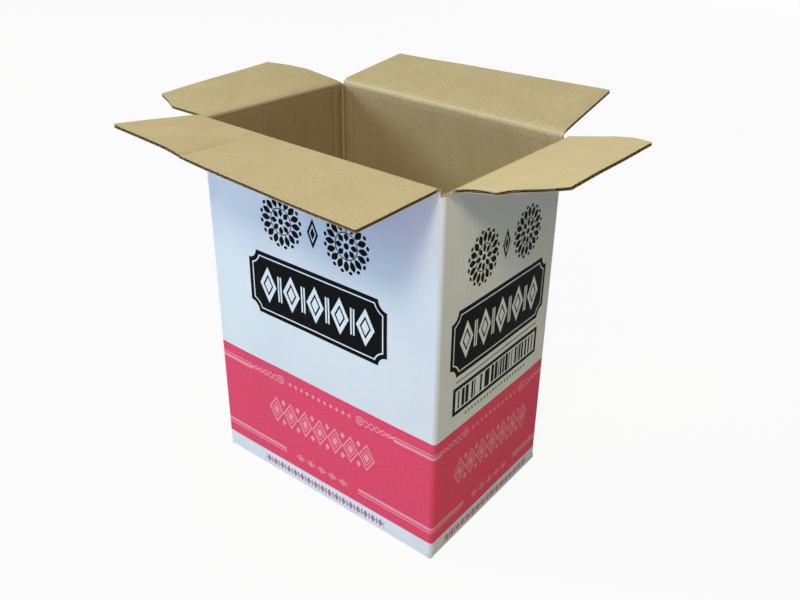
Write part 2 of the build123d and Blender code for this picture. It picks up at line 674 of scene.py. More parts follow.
class CasePrint:
    """The flat print on the outside: stripes, braids, a plaque, rosettes and a bar pattern."""

    def __init__(self, colours: PrintColours, layout: PrintLayout) -> None:
        """Starts the print.

        Args:
            colours: the paper and the inks.
            layout: the places of the printed fields.
        """
        self.colours = colours
        self.layout = layout
        self.draw = Finish("white_top_liner", colours.roughness, colours.sheen)
        draw = self.draw
        scale = draw.by_wall(1.0, layout.short_scale)
        self.x = draw.add(MATH, draw.from_middle, scale, operation="DIVIDE")
        self.side = draw.size_of(self.x)

    def row(self, pitch: float) -> Socket:
        """Distance from the nearest of a row's even places."""
        return self.draw.add(MATH, self.x, pitch / 2, operation="PINGPONG")

    def height_from(self, level: float) -> Socket:
        """Distance up or down from a level."""
        return self.draw.size_of(self.draw.offset(self.draw.y, -level))

    def lozenge(self, across: Value, up: Value, half: tuple[float, float]) -> Socket:
        """0 in the middle of a lozenge and 1 on its sides."""
        draw = self.draw
        wide = draw.scaled(across, 1 / half[0])
        tall = draw.scaled(up, 1 / half[1])
        return draw.add(MATH, wide, tall, operation="ADD")

    def distance(self, across: Value, up: Value) -> Socket:
        """Distance from a point, given how far across and up from it a place is."""
        arm = self.draw.add("ShaderNodeCombineXYZ", across, up, 0.0)
        return self.draw.add(VECTOR, arm, operation="LENGTH", take="Value")

    def direction(self, across: Value, up: Value) -> Socket:
        """Angle round a point, given how far across and up from it a place is."""
        return self.draw.add(MATH, up, across, operation="ARCTAN2")

    def line_middle(self, lines: tuple[tuple[float, float], ...]) -> float:
        """Middle height of a pair of printed lines."""
        return sum(lines[0] + lines[1]) / 4

    def double_lines(self) -> Socket:
        """Pale double lines along the band, broken where the ornaments are."""
        draw = self.draw
        upper = draw.either(*[draw.within(draw.y, *line) for line in self.layout.upper_lines])
        lower = draw.either(*[draw.within(draw.y, *line) for line in self.layout.lower_lines])
        upper = draw.without(upper, draw.below(self.side, self.layout.upper_gap))
        lower = draw.without(lower, draw.below(self.side, self.layout.lower_gap))
        return draw.either(upper, lower)

    def braid(self) -> Socket:
        """Two crossing waves that end in a curl, an old bookbinder's ornament."""
        draw = self.draw
        strand, pitch = 0.62, 12.5
        curl_middle, curl_radius, curl_pitch, curl_line = 47.0, 5.0, 2.3, 1.05
        up = draw.offset(draw.y, -self.line_middle(self.layout.upper_lines))
        phase = draw.scaled(self.side, 2 * math.pi / pitch)
        wave = draw.add(MATH, phase, operation="SINE")
        swing = draw.add(MATH, draw.ramp(self.side, 86.0, 56.0), 2.2, 0.9, operation="MULTIPLY_ADD")
        curve = draw.both(wave, swing)
        rising = draw.size_of(draw.add(MATH, up, curve, operation="SUBTRACT"))
        falling = draw.size_of(draw.add(MATH, up, curve, operation="ADD"))
        strands = draw.either(draw.below(rising, strand), draw.below(falling, strand))
        strands = draw.both(strands, draw.within(self.side, *self.layout.braid_reach))
        across = draw.offset(self.side, -curl_middle)
        radius, angle = self.distance(across, up), self.direction(across, up)
        per_turn = curl_pitch / (2 * math.pi)
        wound = draw.add(MATH, angle, per_turn, radius, operation="MULTIPLY_ADD")
        turns = draw.add(MATH, wound, curl_pitch, operation="FLOORED_MODULO")
        curl = draw.both(draw.below(turns, curl_line), draw.below(radius, curl_radius))
        return draw.either(strands, curl)

    def beads(self) -> Socket:
        """A row of small lozenges between the curls."""
        draw = self.draw
        level = self.line_middle(self.layout.upper_lines)
        bead = self.lozenge(self.row(7.0), self.height_from(level), (1.9, 2.3))
        return draw.both(draw.below(bead, 1.0), draw.below(self.side, self.layout.beads_reach))

    def frieze(self) -> Socket:
        """A chain of nested lozenges along the middle of the band."""
        draw, level, pitch = self.draw, self.layout.frieze_middle, self.layout.frieze_pitch
        reach = self.layout.frieze_reach
        chain = self.lozenge(self.row(pitch), self.height_from(level), (pitch / 2, 14.0))
        outline = draw.within(chain, 0.84, 1.0)
        heart = draw.below(chain, 0.34)
        ring = draw.within(chain, 0.52, 0.62)
        gap = draw.add(MATH, pitch / 2, self.row(pitch), operation="SUBTRACT")
        places = [self.height_from(level + shift) for shift in (10.5, -10.5)]
        points = draw.either(*[draw.below(self.lozenge(gap, up, (2.6, 3.4)), 1.0) for up in places])
        chained = draw.both(draw.either(outline, heart, ring), draw.below(self.side, reach))
        return draw.either(chained, draw.both(points, draw.below(self.side, reach - 5.0)))

    def lower_ornament(self) -> Socket:
        """Lozenges that fill the gap in the lower lines."""
        draw = self.draw
        level = self.line_middle(self.layout.lower_lines)
        chain = self.lozenge(self.row(13.0), self.height_from(level), (5.6, 3.6))
        shown = draw.without(draw.below(chain, 1.0), draw.within(chain, 0.45, 0.7))
        return draw.both(shown, draw.below(self.side, self.layout.lower_reach))

    def hem(self) -> Socket:
        """A row of lozenges and bars on the white strip under the band."""
        draw = self.draw
        place = self.row(8.6)
        up = self.height_from(self.layout.hem_middle)
        lozenges = draw.below(self.lozenge(place, up, (2.8, 4.4)), 1.0)
        bars = draw.both(draw.within(place, 3.5, 4.4), draw.below(up, 3.2))
        return draw.both(draw.either(lozenges, bars), draw.below(self.side, self.layout.hem_reach))

    def plaque(self) -> tuple[Socket, Socket]:
        """A black field with scooped corners, a keyline and a row of bold lozenges and bars.

        Returns:
            The black field's mask and the mask of what is left white on it.
        """
        draw, layout = self.draw, self.layout
        half_wide, half_tall = layout.plaque_half
        scoop_radius = 9.0
        up = self.height_from(layout.plaque_middle)
        from_side = draw.offset(self.side, -half_wide)
        from_top = draw.offset(up, -half_tall)
        scoop = draw.add(
            MATH, scoop_radius, self.distance(from_side, from_top), operation="SUBTRACT"
        )
        edge = draw.either(from_side, from_top, scoop)
        field_mask = draw.below(edge, 0.0)
        keyline = draw.within(edge, -5.0, -3.8)
        place = self.row(27.0)
        bold = self.lozenge(place, up, (9.6, 17.0))
        lozenges = draw.without(draw.below(bold, 1.0), draw.within(bold, 0.42, 0.6))
        posts = draw.both(draw.within(place, 11.2, 14.0), draw.below(up, 12.0))
        posts = draw.without(posts, draw.within(place, 12.9, 14.0))
        motif = draw.both(draw.either(lozenges, posts), draw.below(self.side, layout.motif_reach))
        return field_mask, draw.either(keyline, motif)

    def rosettes(self) -> Socket:
        """Two round flowers of narrow leaves with a lozenge between them, above the plaque."""
        draw, layout = self.draw, self.layout
        place, level = layout.rosette_place
        across, up = draw.offset(self.side, -place), draw.offset(draw.y, -level)
        radius, angle = self.distance(across, up), self.direction(across, up)
        outer = self.leaves(radius, angle, 16, (11.5, layout.rosette_radius), 0.42)
        inner = self.leaves(radius, angle, 8, (4.0, 11.0), 0.4)
        eye = draw.below(radius, 2.6)
        ring = draw.within(radius, 10.7, 11.6)
        dots = self.leaves(radius, angle, 16, (20.2, 23.6), 0.24, 0.5)
        drop = self.lozenge(self.side, self.height_from(level), (6.0, 13.0))
        drop = draw.without(draw.below(drop, 1.0), draw.within(drop, 0.42, 0.62))
        return draw.either(outer, inner, eye, ring, dots, drop)

    def leaves(
        self,
        radius: Socket,
        angle: Socket,
        count: int,
        reach: tuple[float, float],
        width: float,
        turn: float = 0.0,
    ) -> Socket:
        """A ring of pointed leaves.

        Args:
            radius: distance from the ring's middle.
            angle: direction from the ring's middle.
            count: how many leaves there are.
            reach: radii at which they start and end.
            width: half the widest part of a leaf, as a share of its place.
            turn: shift round the ring, as a share of one place.

        Returns:
            The leaves' mask.
        """
        draw = self.draw
        place = draw.add(MATH, angle, count / (2 * math.pi), turn, operation="MULTIPLY_ADD")
        across = draw.add(MATH, place, 0.5, operation="PINGPONG")
        share = draw.ramp(radius, *reach)
        lengthwise = draw.add(MATH, draw.scaled(share, math.pi), operation="SINE")
        leaf = draw.below(across, draw.scaled(lengthwise, width))
        return draw.both(leaf, draw.within(radius, *reach))

    def bar_pattern(self) -> Socket:
        """Uneven bars in a thick frame, on the short walls only, with a row of ticks below."""
        draw = self.draw
        bar_pitch, tick_pitch, bar_half_height = 1.35, 4.4, 8.4
        across = draw.size_of(draw.from_middle)
        up = self.height_from(self.layout.bars_middle)
        frame = draw.both(draw.below(across, 62.8), draw.below(up, 13.2))
        window = draw.both(draw.below(across, 59.4), draw.below(up, 9.8))
        module = draw.add(MATH, draw.from_middle, bar_pitch, operation="SNAP")
        dice = draw.add("ShaderNodeTexWhiteNoise", None, module, noise_dimensions="1D")
        bars = draw.both(draw.below(dice, 0.52), draw.below(up, bar_half_height))
        bars = draw.both(bars, draw.below(across, 51.0))
        ends = draw.both(draw.within(across, 54.2, 56.0), draw.below(up, bar_half_height))
        tick_place = draw.add(MATH, draw.from_middle, tick_pitch / 2, operation="PINGPONG")
        ticks = draw.both(draw.below(tick_place, 0.75), draw.below(across, 45.0))
        ticks = draw.both(ticks, draw.within(draw.y, 127.2, 130.2))
        ruled = draw.both(draw.within(draw.y, 164.4, 165.4), draw.below(across, 60.0))
        pattern = draw.either(draw.without(frame, window), bars, ends, ticks, ruled)
        return draw.both(pattern, draw.short)

    def scuffs(self) -> Socket:
        """Short dull marks that handling leaves."""
        draw = self.draw
        marks = draw.grain(1.4, 9.0, 3.0, 41.0)
        where = draw.grain(55.0, 70.0, 1.0, 13.0)
        return draw.both(draw.ramp(marks, 0.65, 0.74), draw.ramp(where, 0.5, 0.62))

    def material(self) -> bpy.types.Material:
        """Prints the inks on the paper.

        Returns:
            The material of the case's outside.
        """
        draw, colours = self.draw, self.colours
        mottle = draw.grain(2.4, 3.0, 3.0, 9.0)
        clouds = draw.grain(60.0, 90.0, 2.0, 17.0)
        paper = draw.tint(
            linear(colours.paper), draw.ramp(mottle, 0.45, 0.7), 0.35, colours.paper_shade
        )
        paper = draw.tint(paper, draw.ramp(clouds, 0.4, 0.7), 0.4, colours.paper_shade)
        blotches = draw.ramp(mottle, 0.35, 0.75)
        ink = draw.blend(blotches, linear(colours.pink), linear(colours.pink_shade))
        colour = draw.blend(draw.within(draw.y, *self.layout.band), paper, ink)
        pale = draw.either(
            self.double_lines(), self.braid(), self.beads(), self.frieze(), self.lower_ornament()
        )
        black, white = self.plaque()
        dark = draw.without(draw.either(black, self.rosettes(), self.bar_pattern()), white)
        dark = draw.both(dark, draw.below(draw.y, self.layout.blank_from))
        for mask, share, tone in (
            (pale, 0.85, colours.pale_pink),
            (self.hem(), 0.8, colours.strip_pink),
            (dark, 1.0, colours.black),
            (self.scuffs(), 0.22, colours.rubbed),
            (draw.ramp(draw.depth, 0.06, 0.14), 1.0, colours.core),
        ):
            colour = draw.tint(colour, mask, share, tone)
        fibres = draw.grain(0.9, 3.0, 3.0, 29.0)
        relief = draw.add(MATH, draw.washboard(0.035), draw.scaled(fibres, 0.05), operation="ADD")
        gloss = draw.add(MATH, dark, 0.03 - colours.sheen, colours.sheen, operation="MULTIPLY_ADD")
        draw.tree.links.new(gloss, draw.shader.inputs["Specular IOR Level"])
        return draw.finish(colour, relief)


@dataclass
class Materials:
    """The three papers that the board is made of."""

    kraft: bpy.types.Material
    medium: bpy.types.Material
    printed: bpy.types.Material

    @classmethod
    def make(cls) -> "Materials":
        """Makes each paper once."""
        return cls(
            kraft_liner(), fluted_medium(), CasePrint(PrintColours(), PrintLayout()).material()
        )


class Layer(Enum):
    """A layer of the board, from one distance above the outer face to another."""

    OUTER_LINER = (0.0, BOARD.liner)
    REST = (BOARD.liner, BOARD.thickness)
    INNER_LINER = (BOARD.inner_liner, BOARD.thickness)


@dataclass
class CaseShell:
    """The four walls with the glued tab inside them, and the closed bottom."""

    sizes: CaseSizes
    materials: Materials
    tab_width: float = 28.0
    tab_thickness: float = 2.0
    tab_radius: float = 3.0
    tab_ends: tuple[float, float] = (12.0, 318.0)
    even_rows: tuple[float, float] = (12.0, 318.0)  # the cells are even between these heights
    tab_taper: float = 7.0
    cell: float = 7.0
    row_count: int = 46
    seam_set_in: float = 2.6  # the back wall's free edge stops this far short of its corner
    post_tops: tuple[float, float] = (326.0, 327.6)  # of the outer liner and of the rest
    post_crumple: float = 0.7
    post_crumple_size: float = 2.6
    bottom_cell: tuple[float, float] = (9.0, 8.0)  # along the fold and across it
    bottom_radius: float = 2.0
    bottom_crush: float = 0.28
    bottom_dip: float = 0.5  # the short walls' folds dip this near to the floor
    bottom_rise: float = 3.4  # length over which the upper flaps rise onto the lower pair
    bulge: float = 0.8  # how far a wall's middle stands out
    bulge_size: float = 85.0  # of the uneven swelling
    bulge_from_corner: tuple[float, float] = (6.0, 40.0)  # where it starts and is full
    bulge_from_foot: tuple[float, float] = (8.0, 60.0)
    bulge_from_top: tuple[float, float] = (0.0, 45.0)
    bulge_top: float = 324.0  # no wall swells above this height
    crease_places: tuple[tuple[float, float], ...] = ((4.3, 0.75), (15.5, 0.25))
    crease_width: float = 0.8
    bottom_gap: float = 0.05  # between the layers of bottom flaps, and on each side of their seam
    pieces: list[bpy.types.Object] = field(default_factory=list)

    def columns(self, wall: Wall) -> list[float]:
        """Places along a wall for its cells, from its middle."""
        half = self.sizes.span(wall) / 2
        slot = self.sizes.flap_width(wall) / 2
        marks = [slot, slot + 0.5]
        radius = self.sizes.corner_radius
        marks += [half - radius + radius * i / 4 for i in range(4)]
        for place, _ in self.crease_places:
            shifts = [self.crease_width * share for share in (-1.6, -0.8, 0, 0.8, 1.6)]
            marks += [half - place + shift for shift in shifts]
        marks += [-m for m in marks]
        low = self.seam_set_in - half if wall is Wall.BACK else -half
        high = half - BOARD.thickness if wall is Wall.RIGHT else half
        return steps(low, high, self.cell, marks)

    def run(self) -> tuple[list[float], dict[Wall, float]]:
        """Lays the walls end to end from the glued corner, with the tab last.

        Returns:
            The places of the columns along the run, and where each wall's middle is on it.
        """
        places: list[float] = []
        middles: dict[Wall, float] = {}
        start = 0.0
        for wall in (Wall.BACK, Wall.LEFT, Wall.FRONT, Wall.RIGHT):
            middles[wall] = start + self.sizes.span(wall) / 2
            places += [middles[wall] + place for place in self.columns(wall)]
            start += self.sizes.span(wall)
        corner = places[-1]
        bends = [self.tab_radius * i / 4 for i in range(1, 5)]
        places += [corner + place for place in bends]
        flat = steps(self.tab_radius, self.tab_width, self.cell)[1:]
        places += [corner + place for place in flat]
        return sorted(set(np.round(places, 4))), middles

    def locate(self, run: Points, middles: dict[Wall, float]) -> tuple[Points, Points]:
        """Finds the wall of each place on the run.

        Args:
            run: places along the run.
            middles: where each wall's middle is.

        Returns:
            The wall's number in the run, and the distance from its middle.
        """
        walls = list(middles)
        ends = np.array([middles[w] + self.sizes.span(w) / 2 for w in walls])
        number = np.clip(np.searchsorted(ends, run - 1e-6), 0, len(walls) - 1)
        return number, run - np.array([middles[w] for w in walls])[number]

    def heights(
        self, run: Points, middles: dict[Wall, float], layer: Layer
    ) -> tuple[Points, Points]:
        """Lowest and highest place of the sheet at each column.

        Args:
            run: places along the run.
            middles: where each wall's middle is.
            layer: the layer of the board, as each is crumpled in its own way.

        Returns:
            The low and the high ends.
        """
        sizes = self.sizes
        outer = layer is Layer.OUTER_LINER
        post = self.post_tops[0 if outer else 1]
        crumple = unevenness(
            run, np.zeros_like(run), self.post_crumple_size, 31.0 if outer else 37.0
        )
        post_top = post + self.post_crumple * crumple
        number, along = self.locate(run, middles)
        low, high = np.zeros_like(run), np.zeros_like(run)
        for index, wall in enumerate(middles):
            mine = number == index
            slot = sizes.flap_width(wall) / 2
            inside = smoothstep(np.abs(along[mine]), slot + 0.5, slot)
            top = sizes.fold_heights[wall] - sizes.strip
            low[mine] = sizes.corner_foot + (sizes.tube_foot - sizes.corner_foot) * inside
            high[mine] = post_top[mine] + (top - post_top[mine]) * inside
        past = run - (middles[Wall.RIGHT] + sizes.width / 2 - BOARD.thickness)
        tab = past > self.tab_radius * 0.9
        share = np.clip(past / self.tab_width, 0, 1)
        low = np.where(tab, self.tab_ends[0] + self.tab_taper * share, low)
        high = np.where(tab, self.tab_ends[1] - self.tab_taper * share, high)
        return low, high

    def folded(self, flat: Points, middles: dict[Wall, float]) -> Points:
        """Wraps the flat run round the corners of the case.

        Args:
            flat: rows of place along the run, height, and distance in from the outer face.
            middles: where each wall's middle is.

        Returns:
            The folded places in millimetres.
        """
        sizes = self.sizes
        run, height, inward = flat.T
        number, along = self.locate(run, middles)
        place = np.zeros(len(run), complex)
        for index, wall in enumerate(middles):
            mine = number == index
            place[mine] = self.on_wall(wall, along[mine], height[mine], inward[mine])
        past = run - (middles[Wall.RIGHT] + sizes.width / 2 - BOARD.thickness)
        tab = past > -self.tab_radius
        place[tab] = self.on_tab(past[tab], inward[tab])
        return np.stack([place.real, place.imag, height], axis=1)

    def on_wall(self, wall: Wall, along: Points, height: Points, inward: Points) -> Points:
        """Places points of one wall, with its half of each rounded corner.

        Args:
            wall: the wall.
            along: distance from the wall's middle.
            height: height above the base.
            inward: distance in from the outer face.

        Returns:
            Places seen from above, as complex numbers.
        """
        half, reach = self.sizes.span(wall) / 2, self.sizes.reach(wall)
        radius = self.sizes.corner_radius
        straight = half - radius
        pressed = np.zeros_like(along)
        for distance, depth in self.crease_places:
            off = (np.abs(along) - (half - distance)) / self.crease_width
            pressed += depth * np.exp(-(off**2))
        inner = inward - pressed * (inward > BOARD.thickness / 2)
        loose = smoothstep(half - np.abs(along), *self.bulge_from_corner)
        loose = loose * smoothstep(height, *self.bulge_from_foot)
        loose = loose * smoothstep(self.bulge_top - height, *self.bulge_from_top)
        waves = unevenness(along, height, self.bulge_size, 3.0 + list(Wall).index(wall))
        swell = self.bulge * loose * (0.8 + 0.9 * waves)
        free_end = (along < -straight) & (wall is Wall.BACK)
        beyond = np.where(free_end, 0.0, np.clip(np.abs(along) - straight, 0, None))
        angle = beyond / radius * math.pi / 4
        flat_part = np.where(free_end, along, np.clip(along, -straight, straight))
        curve = np.where(beyond > 0, radius - inner, 0.0)
        sideways = flat_part + np.sign(along) * curve * np.sin(angle)
        out = np.where(beyond > 0, reach - radius + curve * np.cos(angle), reach - inner + swell)
        return wall.along * sideways + wall.outward * out

    def on_tab(self, past: Points, inward: Points) -> Points:
        """Places points of the tab, which turns round inside the back wall.

        Args:
            past: distance past the corner of the right wall and the tab.
            inward: distance in from the outer face.

        Returns:
            Places seen from above, as complex numbers.
        """
        sizes, radius = self.sizes, self.tab_radius
        share = np.clip((past + radius) / (2 * radius), 0, 1)
        thin = inward * (1 + (self.tab_thickness / BOARD.thickness - 1) * share)
        middle = complex(sizes.length / 2 - radius, sizes.width / 2 - BOARD.thickness - radius)
        turned = middle + (radius - thin) * np.exp(1j * share * math.pi / 2)
        return turned - np.clip(past - radius, 0, None)

    def tube(self, layer: Layer) -> bpy.types.Object:
        """Makes the walls in one layer of the board.

        Args:
            layer: the layer.

        Returns:
            The folded tube.
        """
        columns, middles = self.run()
        rows = steps(0.0, 1.0, 1 / self.row_count)
        sheet = flat_sheet("tube", columns, rows)
        flat = points_of(sheet)
        low, high = self.heights(flat[:, 0], middles, layer)
        bottom, top = self.even_rows
        even = bottom + (flat[:, 1] - rows[1]) / (rows[-2] - rows[1]) * (top - bottom)
        even = np.where(flat[:, 1] < rows[1] - 1e-6, low, even)
        even = np.where(flat[:, 1] > rows[-2] + 1e-6, high, even)
        flat[:, 1] = np.clip(even, low, high)
        set_points(sheet, flat)
        thicken(sheet, *layer.value)

        def blank(points: Points) -> Points:
            """Places on the blank, which starts at the left edge of the front wall."""
            number, along = self.locate(points[:, 0], middles)
            starts = np.array([w.blank_start + self.sizes.span(w) / 2 for w in middles])
            return np.stack([starts[number] + along, points[:, 1], points[:, 2]], axis=1)

        fold(sheet, blank, lambda points: self.folded(points, middles))
        return sheet

    def bottom_flap(self, wall: Wall, layer: Layer) -> bpy.types.Object:
        """Makes a bottom flap with the fold that joins it to its wall.

        Args:
            wall: the wall above it.
            layer: the layer of the board.

        Returns:
            The folded flap.
        """
        sizes, radius = self.sizes, self.bottom_radius
        long = wall in (Wall.FRONT, Wall.BACK)
        level = 0.0 if long else self.bottom_dip
        rise = 0.0 if long else BOARD.thickness + self.bottom_gap - level
        half = sizes.flap_width(wall) / 2
        foot = sizes.tube_foot
        upright = foot - level - radius
        bend = radius * math.pi / 2
        depth = sizes.width / 2 - self.bottom_gap if long else sizes.flap_depth
        length = upright + bend + depth - radius
        marks = [upright + bend * i / 6 for i in range(7)]
        marks += [upright + bend + 0.7 * i for i in range(1, 6)]
        wide, deep = self.bottom_cell
        sheet = flat_sheet("bottom", steps(-half, half, wide), steps(0.0, length, deep, marks))
        thicken(sheet, *layer.value)
        if not long:
            end = length - sizes.flap_depth
            taper = (half - sizes.taper_inset, length + 0.01)
            side = [(half + 0.1, -1.0), (half + 0.1, end + sizes.taper_start), taper]
            cut_to(sheet, side + [(-x, y) for x, y in reversed(side)])

        def shape(points: Points) -> Points:
            """Turns the sheet under the wall."""
            along, down, inward = points.T
            share = (down - upright) / bend
            turn = np.clip(share, 0, 1) * math.pi / 2
            beyond = np.clip(down - upright - bend, 0, None)
            thin = inward * (1 - self.bottom_crush * np.exp(-((share - 0.5) ** 2)))
            arm = radius - thin
            inside = radius - arm * np.cos(turn) + beyond
            bottom = level + rise * smoothstep(beyond, 0.0, self.bottom_rise)
            height = np.where(turn > 0, bottom + radius - arm * np.sin(turn), foot - down)
            place = wall.along * along + wall.outward * (sizes.reach(wall) - inside)
            return np.stack([place.real, place.imag, height], axis=1)

        start = wall.blank_start + sizes.span(wall) / 2
        fold(sheet, lambda p: np.stack([start + p[:, 0], foot - p[:, 1], p[:, 2]], axis=1), shape)
        return sheet

    def build(self) -> None:
        """Makes the two pieces of the shell and puts them on the case's body."""
        kinds = (
            ("case_outer_liner", Layer.OUTER_LINER, self.materials.printed, "printed_board"),
            ("case_board", Layer.REST, self.materials.kraft, "kraft_board"),
        )
        for name, layer, material, slot in kinds:
            parts = [self.tube(layer)] + [self.bottom_flap(wall, layer) for wall in Wall]
            piece = join(name, parts)
            piece.data.materials.append(material)
            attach(piece, "case")
            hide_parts("case_body")
            self.pieces.append(piece)


@dataclass(frozen=True)
class Bend:
    """How the board bends at a top fold, in millimetres and degrees."""

    length: float = 2.0  # of board in the bend
    radius: float = 0.7  # of the outer face
    crush: float = 0.46  # how much thinner the board is in the crease, or thicker below 0
    crush_below: float = 1.2  # how far the crease's change in thickness runs on below the bend
    crush_beyond: float = 4.4  # and beyond it
    roll: float = 8.0  # the flap rises this many degrees more at its fold and rolls over
    roll_reach: float = 10.0
    outer_spread: float = 1.7  # spread of each layer from the fold's axis
    inner_spread: float = 3.2


@dataclass
class TopFlap:
    """A top flap with the fold that joins it to its wall."""

    wall: Wall
    sizes: CaseSizes
    materials: Materials
    lean: Callable[[Points], Points]
    outline: list[tuple[float, float]]
    dent: Callable[[Points, Points], Points] = lambda along, depth: np.zeros_like(along)
    marks: tuple[float, ...] = ()
    torn_below: float | None = None  # the edge is torn where it lies left of this place
    bend: Bend = Bend()
    wave: float = 0.45  # unevenness of the flap
    wave_size: float = 48.0
    wave_from: float = 40.0  # it is full this far from the fold
    spare: float = 9.0  # how much larger the sheet is than the outline that is cut from it
    flute_steps: int = 12
    cell: float = 4.0
    flute_cell: float = 6.0
    fold_cell: tuple[float, float] = (3.0, 0.8)  # along the fold and across it
    liner_tears: float = 0.35
    flute_tears: float = 0.5
    pieces: list[bpy.types.Object] = field(default_factory=list)

    @property
    def half(self) -> float:
        """Half the flap's width at the fold."""
        return self.sizes.flap_width(self.wall) / 2

    def shape(self, flat: Points) -> Points:
        """Bends the flat flap out over the top of its wall.

        Args:
            flat: rows of place along the fold, distance past the fold, and distance from
                the outer face. Distances below the fold are negative.

        Returns:
            The folded places in millimetres.
        """
        along, past, through = flat.T
        bend, half_bend = self.bend, self.bend.length / 2
        roll = math.radians(bend.roll)
        rise = roll * bend.roll_reach / 3
        lean = np.radians(self.lean(along)) + rise / self.sizes.flap_depth
        offset = bend.radius - self.sizes.hinge_gap
        start = offset * np.tan(lean / 2)
        beyond = np.clip(past - bend.length, 0, None)
        below = np.clip(-past, 0, None)
        rolling = np.clip(1 - beyond / bend.roll_reach, 0, 1)
        turn = (lean - roll * rolling**2) * np.clip(past / bend.length, 0, 1)
        reach = np.where(past < half_bend, bend.crush_below, bend.crush_beyond) + half_bend
        off_fold = np.clip((past - half_bend) / reach, -1, 1)
        thin = 1 - bend.crush * (1 - off_fold**2) ** 2
        loose = smoothstep(beyond, self.sizes.strip, self.wave_from)
        waves = unevenness(along, beyond, self.wave_size, 20.0 + self.wall.value[0])
        lift = loose * (self.wave * waves + self.dent(along, beyond))
        radius = bend.radius + through * thin + lift
        outward = self.straight(beyond, start) - roll * rise * 0.3 * (1 - rolling**5)
        raised = rise * (1 - rolling**3)
        out = offset + outward * np.sin(lean) - raised * np.cos(lean) - radius * np.cos(turn)
        up = outward * np.cos(lean) + raised * np.sin(lean) + radius * np.sin(turn)
        up -= start + self.straight(below, start)
        axis = self.sizes.reach(self.wall) + self.sizes.hinge_gap
        place = self.wall.along * along + self.wall.outward * (axis + out)
        return np.stack([place.real, place.imag, self.sizes.fold_heights[self.wall] + up], axis=1)

    def straight(self, distance: Points, start: Points) -> Points:
        """Length of flat board past an end of the bend.

        Args:
            distance: distance on the blank from the bend's end.
            start: how far the bend's end is from where the two flat faces would meet.

        Returns:
            The length, which the fold's strip takes up evenly.
        """
        strip = self.sizes.strip
        return np.where(distance < strip, distance * (strip - start) / strip, distance - start)

    def blank(self, flat: Points) -> Points:
        """Where the flap's points lie on the whole blank."""
        start = self.wall.blank_start + self.sizes.span(self.wall) / 2
        up = self.sizes.fold_heights[self.wall] + flat[:, 1] - self.bend.length / 2
        return np.stack([start + flat[:, 0], up, flat[:, 2]], axis=1)

    def cut_outline(self, ragged: float, seed: int) -> list[tuple[float, float]]:
        """The outline, with small tears along the torn stretch.

        Args:
            ragged: size of the small tears.
            seed: picks the tears of one layer.

        Returns:
            The outline's corners, measured past the fold.
        """
        corners = [(x, y + self.bend.length) for x, y in self.outline]
        if self.torn_below is None:
            return corners
        dice = np.random.default_rng(seed)
        rough: list[tuple[float, float]] = []
        for (x, y), (next_x, next_y) in zip(corners, corners[1:] + corners[:1]):
            rough.append((x, y))
            if max(x, next_x) < self.torn_below:
                jogs = [(share, dice.uniform(-ragged, ragged)) for share in (0.35, 0.7)]
                rough += [(x + (next_x - x) * t + jog, y + (next_y - y) * t) for t, jog in jogs]
        return rough

    def rows(self, pitch: float) -> list[float]:
        """Rows of a sheet from the end of the fold's own piece to past the free edge."""
        root, end = self.sizes.strip, self.sizes.flap_depth + self.spare
        return steps(self.bend.length + root, self.bend.length + end, pitch)

    def liner(self, name: str, layer: Layer, seed: int) -> bpy.types.Object:
        """Makes one flat liner of the flap and folds it.

        Args:
            name: the part's name.
            layer: its place in the board.
            seed: picks the small tears at its torn edge.

        Returns:
            The folded liner.
        """
        side = self.half + self.spare
        sheet = flat_sheet(name, steps(-side, side, self.cell, self.marks), self.rows(self.cell))
        thicken(sheet, *layer.value)
        cut_to(sheet, self.cut_outline(self.liner_tears, seed))
        fold(sheet, self.blank, self.shape)
        return sheet

    def flutes(self) -> bpy.types.Object:
        """Makes the fluted sheet between the liners.

        Returns:
            The folded fluted sheet.
        """
        pitch = BOARD.flute_pitch
        waves = math.ceil(2 * (self.half + self.spare) / pitch)
        columns = np.linspace(-waves * pitch / 2, waves * pitch / 2, waves * self.flute_steps + 1)
        sheet = flat_sheet("flutes", list(columns), self.rows(self.flute_cell))
        flat = points_of(sheet)
        swing = BOARD.flute_swing * np.cos(flat[:, 0] * 2 * math.pi / pitch)
        flat[:, 2] = BOARD.thickness / 2 + swing
        set_points(sheet, flat)
        apply_modifier(sheet, "SOLIDIFY", thickness=BOARD.medium, offset=0.0, use_even_offset=True)
        cut_to(sheet, self.cut_outline(self.flute_tears, 5))
        fold(sheet, self.blank, self.shape)
        return sheet

    def crease(self, name: str, layer: Layer) -> bpy.types.Object:
        """Makes the band of crushed board round the fold.

        Args:
            name: the part's name.
            layer: its place in the board.

        Returns:
            The folded band.
        """
        strip, length = self.sizes.strip, self.bend.length
        wide, high = self.fold_cell
        rows = steps(-strip, length + strip, high, [length * i / 8 for i in range(9)])
        sheet = flat_sheet(name, steps(-self.half, self.half, wide, self.marks), rows)
        thicken(sheet, *layer.value)
        fold(sheet, self.blank, self.shape)
        return sheet

    def carry_crease(self, piece: bpy.types.Object) -> None:
        """Bakes the placing of a piece of the fold into its points.

        Args:
            piece: the band round the fold.
        """
        lean = math.radians(float(np.mean(self.lean(np.array([-self.half, 0.0, self.half])))))
        reach = self.sizes.reach(self.wall) + self.sizes.hinge_gap
        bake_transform(piece)

